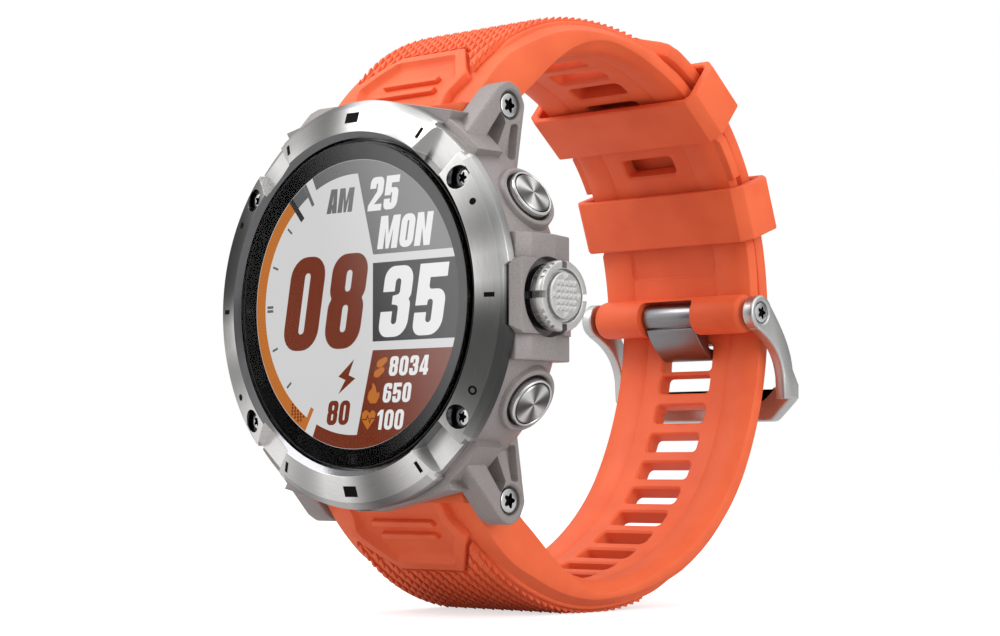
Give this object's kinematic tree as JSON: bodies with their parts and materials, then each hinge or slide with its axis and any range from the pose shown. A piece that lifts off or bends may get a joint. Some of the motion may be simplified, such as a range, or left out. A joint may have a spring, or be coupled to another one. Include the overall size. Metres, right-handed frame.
{
  "type": "gps running watch",
  "caption": "Rugged round running watch with a screwed metal bezel, a turning crown, side buttons and a buckled silicone strap with keepers.",
  "frame": {"origin": "centre of the lens outer face, on the dial axis", "axes": "+X to the crown (3 o'clock), +Y away from the display towards the wrist, +Z to 12 o'clock"},
  "size_m": [0.0535, 0.0734, 0.0758],
  "materials": {
    "titanium": "circular-brushed titanium, bright silver",
    "polished_steel": "polished steel",
    "dark_steel": "dark brushed steel",
    "case_finish": "fine matt taupe-grey grain",
    "silicone": "soft satin orange silicone",
    "black_rubber": "matt black",
    "cover_glass": "clear, polished",
    "screen": "printed dial in white, grey, red-brown and orange",
    "circuit_board": "green solder mask",
    "foil": "satin foil",
    "black_plastic": "fine matt black"
  },
  "bodies": {
    "case": {"bezel": "titanium", "upper_lug_bar": "polished_steel", "lower_lug_bar": "polished_steel", "vibration_motor": "polished_steel", "bezel_screw_upper_right": "polished_steel", "bezel_screw_upper_left": "polished_steel", "bezel_screw_lower_right": "polished_steel", "bezel_screw_lower_left": "polished_steel", "back_screw_upper_right": "polished_steel", "back_screw_upper_left": "polished_steel", "back_screw_lower_right": "polished_steel", "back_screw_lower_left": "polished_steel", "lug_screw_upper_right": "polished_steel", "lug_screw_upper_left": "polished_steel", "lug_screw_lower_right": "polished_steel", "lug_screw_lower_left": "polished_steel", "crown_tube": "dark_steel", "mid_case": "case_finish", "lens_gasket": "black_rubber", "back_gasket": "black_rubber", "crown_seal": "black_rubber", "upper_button_seal": "black_rubber", "lower_button_seal": "black_rubber", "charging_port": "black_rubber", "lens": "cover_glass", "sensor_window": "cover_glass", "display_module": "screen", "main_board": "circuit_board", "sensor_board": "circuit_board", "battery": "foil", "antenna_ring": "foil", "inner_frame": "black_plastic", "back_cover": "black_plastic", "crown_switch": "black_plastic", "upper_button_switch": "black_plastic", "lower_button_switch": "black_plastic"},
    "crown_plunger": {"crown_stem": "polished_steel"},
    "crown": {"crown_knob": "titanium", "crown_cap": "polished_steel"},
    "upper_button": {"upper_button_ring": "titanium", "upper_button_cap": "polished_steel", "upper_button_stem": "dark_steel"},
    "lower_button": {"lower_button_ring": "titanium", "lower_button_cap": "polished_steel", "lower_button_stem": "dark_steel"},
    "band": {"buckle_strap": "silicone", "hole_strap": "silicone", "fixed_keeper": "silicone"},
    "free_keeper": {"free_keeper": "silicone"},
    "buckle": {"buckle_frame": "titanium", "buckle_pin": "polished_steel", "buckle_screw_right": "polished_steel", "buckle_screw_left": "polished_steel"},
    "tongue": {"buckle_tongue": "dark_steel"}
  },
  "joints": [
    {"name": "crown_press", "type": "slide", "parent": "case", "child": "crown_plunger", "axis": [-1, 0, 0], "range_m": [0, 0.0005], "stiffness_N_per_m": 800},
    {"name": "crown_spin", "type": "hinge", "parent": "crown_plunger", "child": "crown", "pos_m": [0.026, 0.008, 0], "axis": [1, 0, 0], "continuous": true},
    {"name": "upper_button_press", "type": "slide", "parent": "case", "child": "upper_button", "axis": [-0.878, 0, -0.4787], "range_m": [0, 0.0006], "stiffness_N_per_m": 800},
    {"name": "lower_button_press", "type": "slide", "parent": "case", "child": "lower_button", "axis": [-0.878, 0, 0.4787], "range_m": [0, 0.0006], "stiffness_N_per_m": 800},
    {"name": "band_swing", "type": "hinge", "parent": "case", "child": "band", "pos_m": [0, 0.011, 0.024], "axis": [1, 0, 0], "range_deg": [0, 50]},
    {"name": "free_keeper_slide", "type": "hinge", "parent": "band", "child": "free_keeper", "pos_m": [0, 0.03525, 0.00588], "axis": [1, 0, 0], "range_deg": [0, 12]},
    {"name": "buckle_frame_swing", "type": "hinge", "parent": "band", "child": "buckle", "pos_m": [0, 0.0644, 0.0014], "axis": [1, 0, 0], "range_deg": [0, 100]},
    {"name": "buckle_tongue_swing", "type": "hinge", "parent": "band", "child": "tongue", "pos_m": [0, 0.0644, 0.0014], "axis": [1, 0, 0], "range_deg": [-60, 0]}
  ]
}
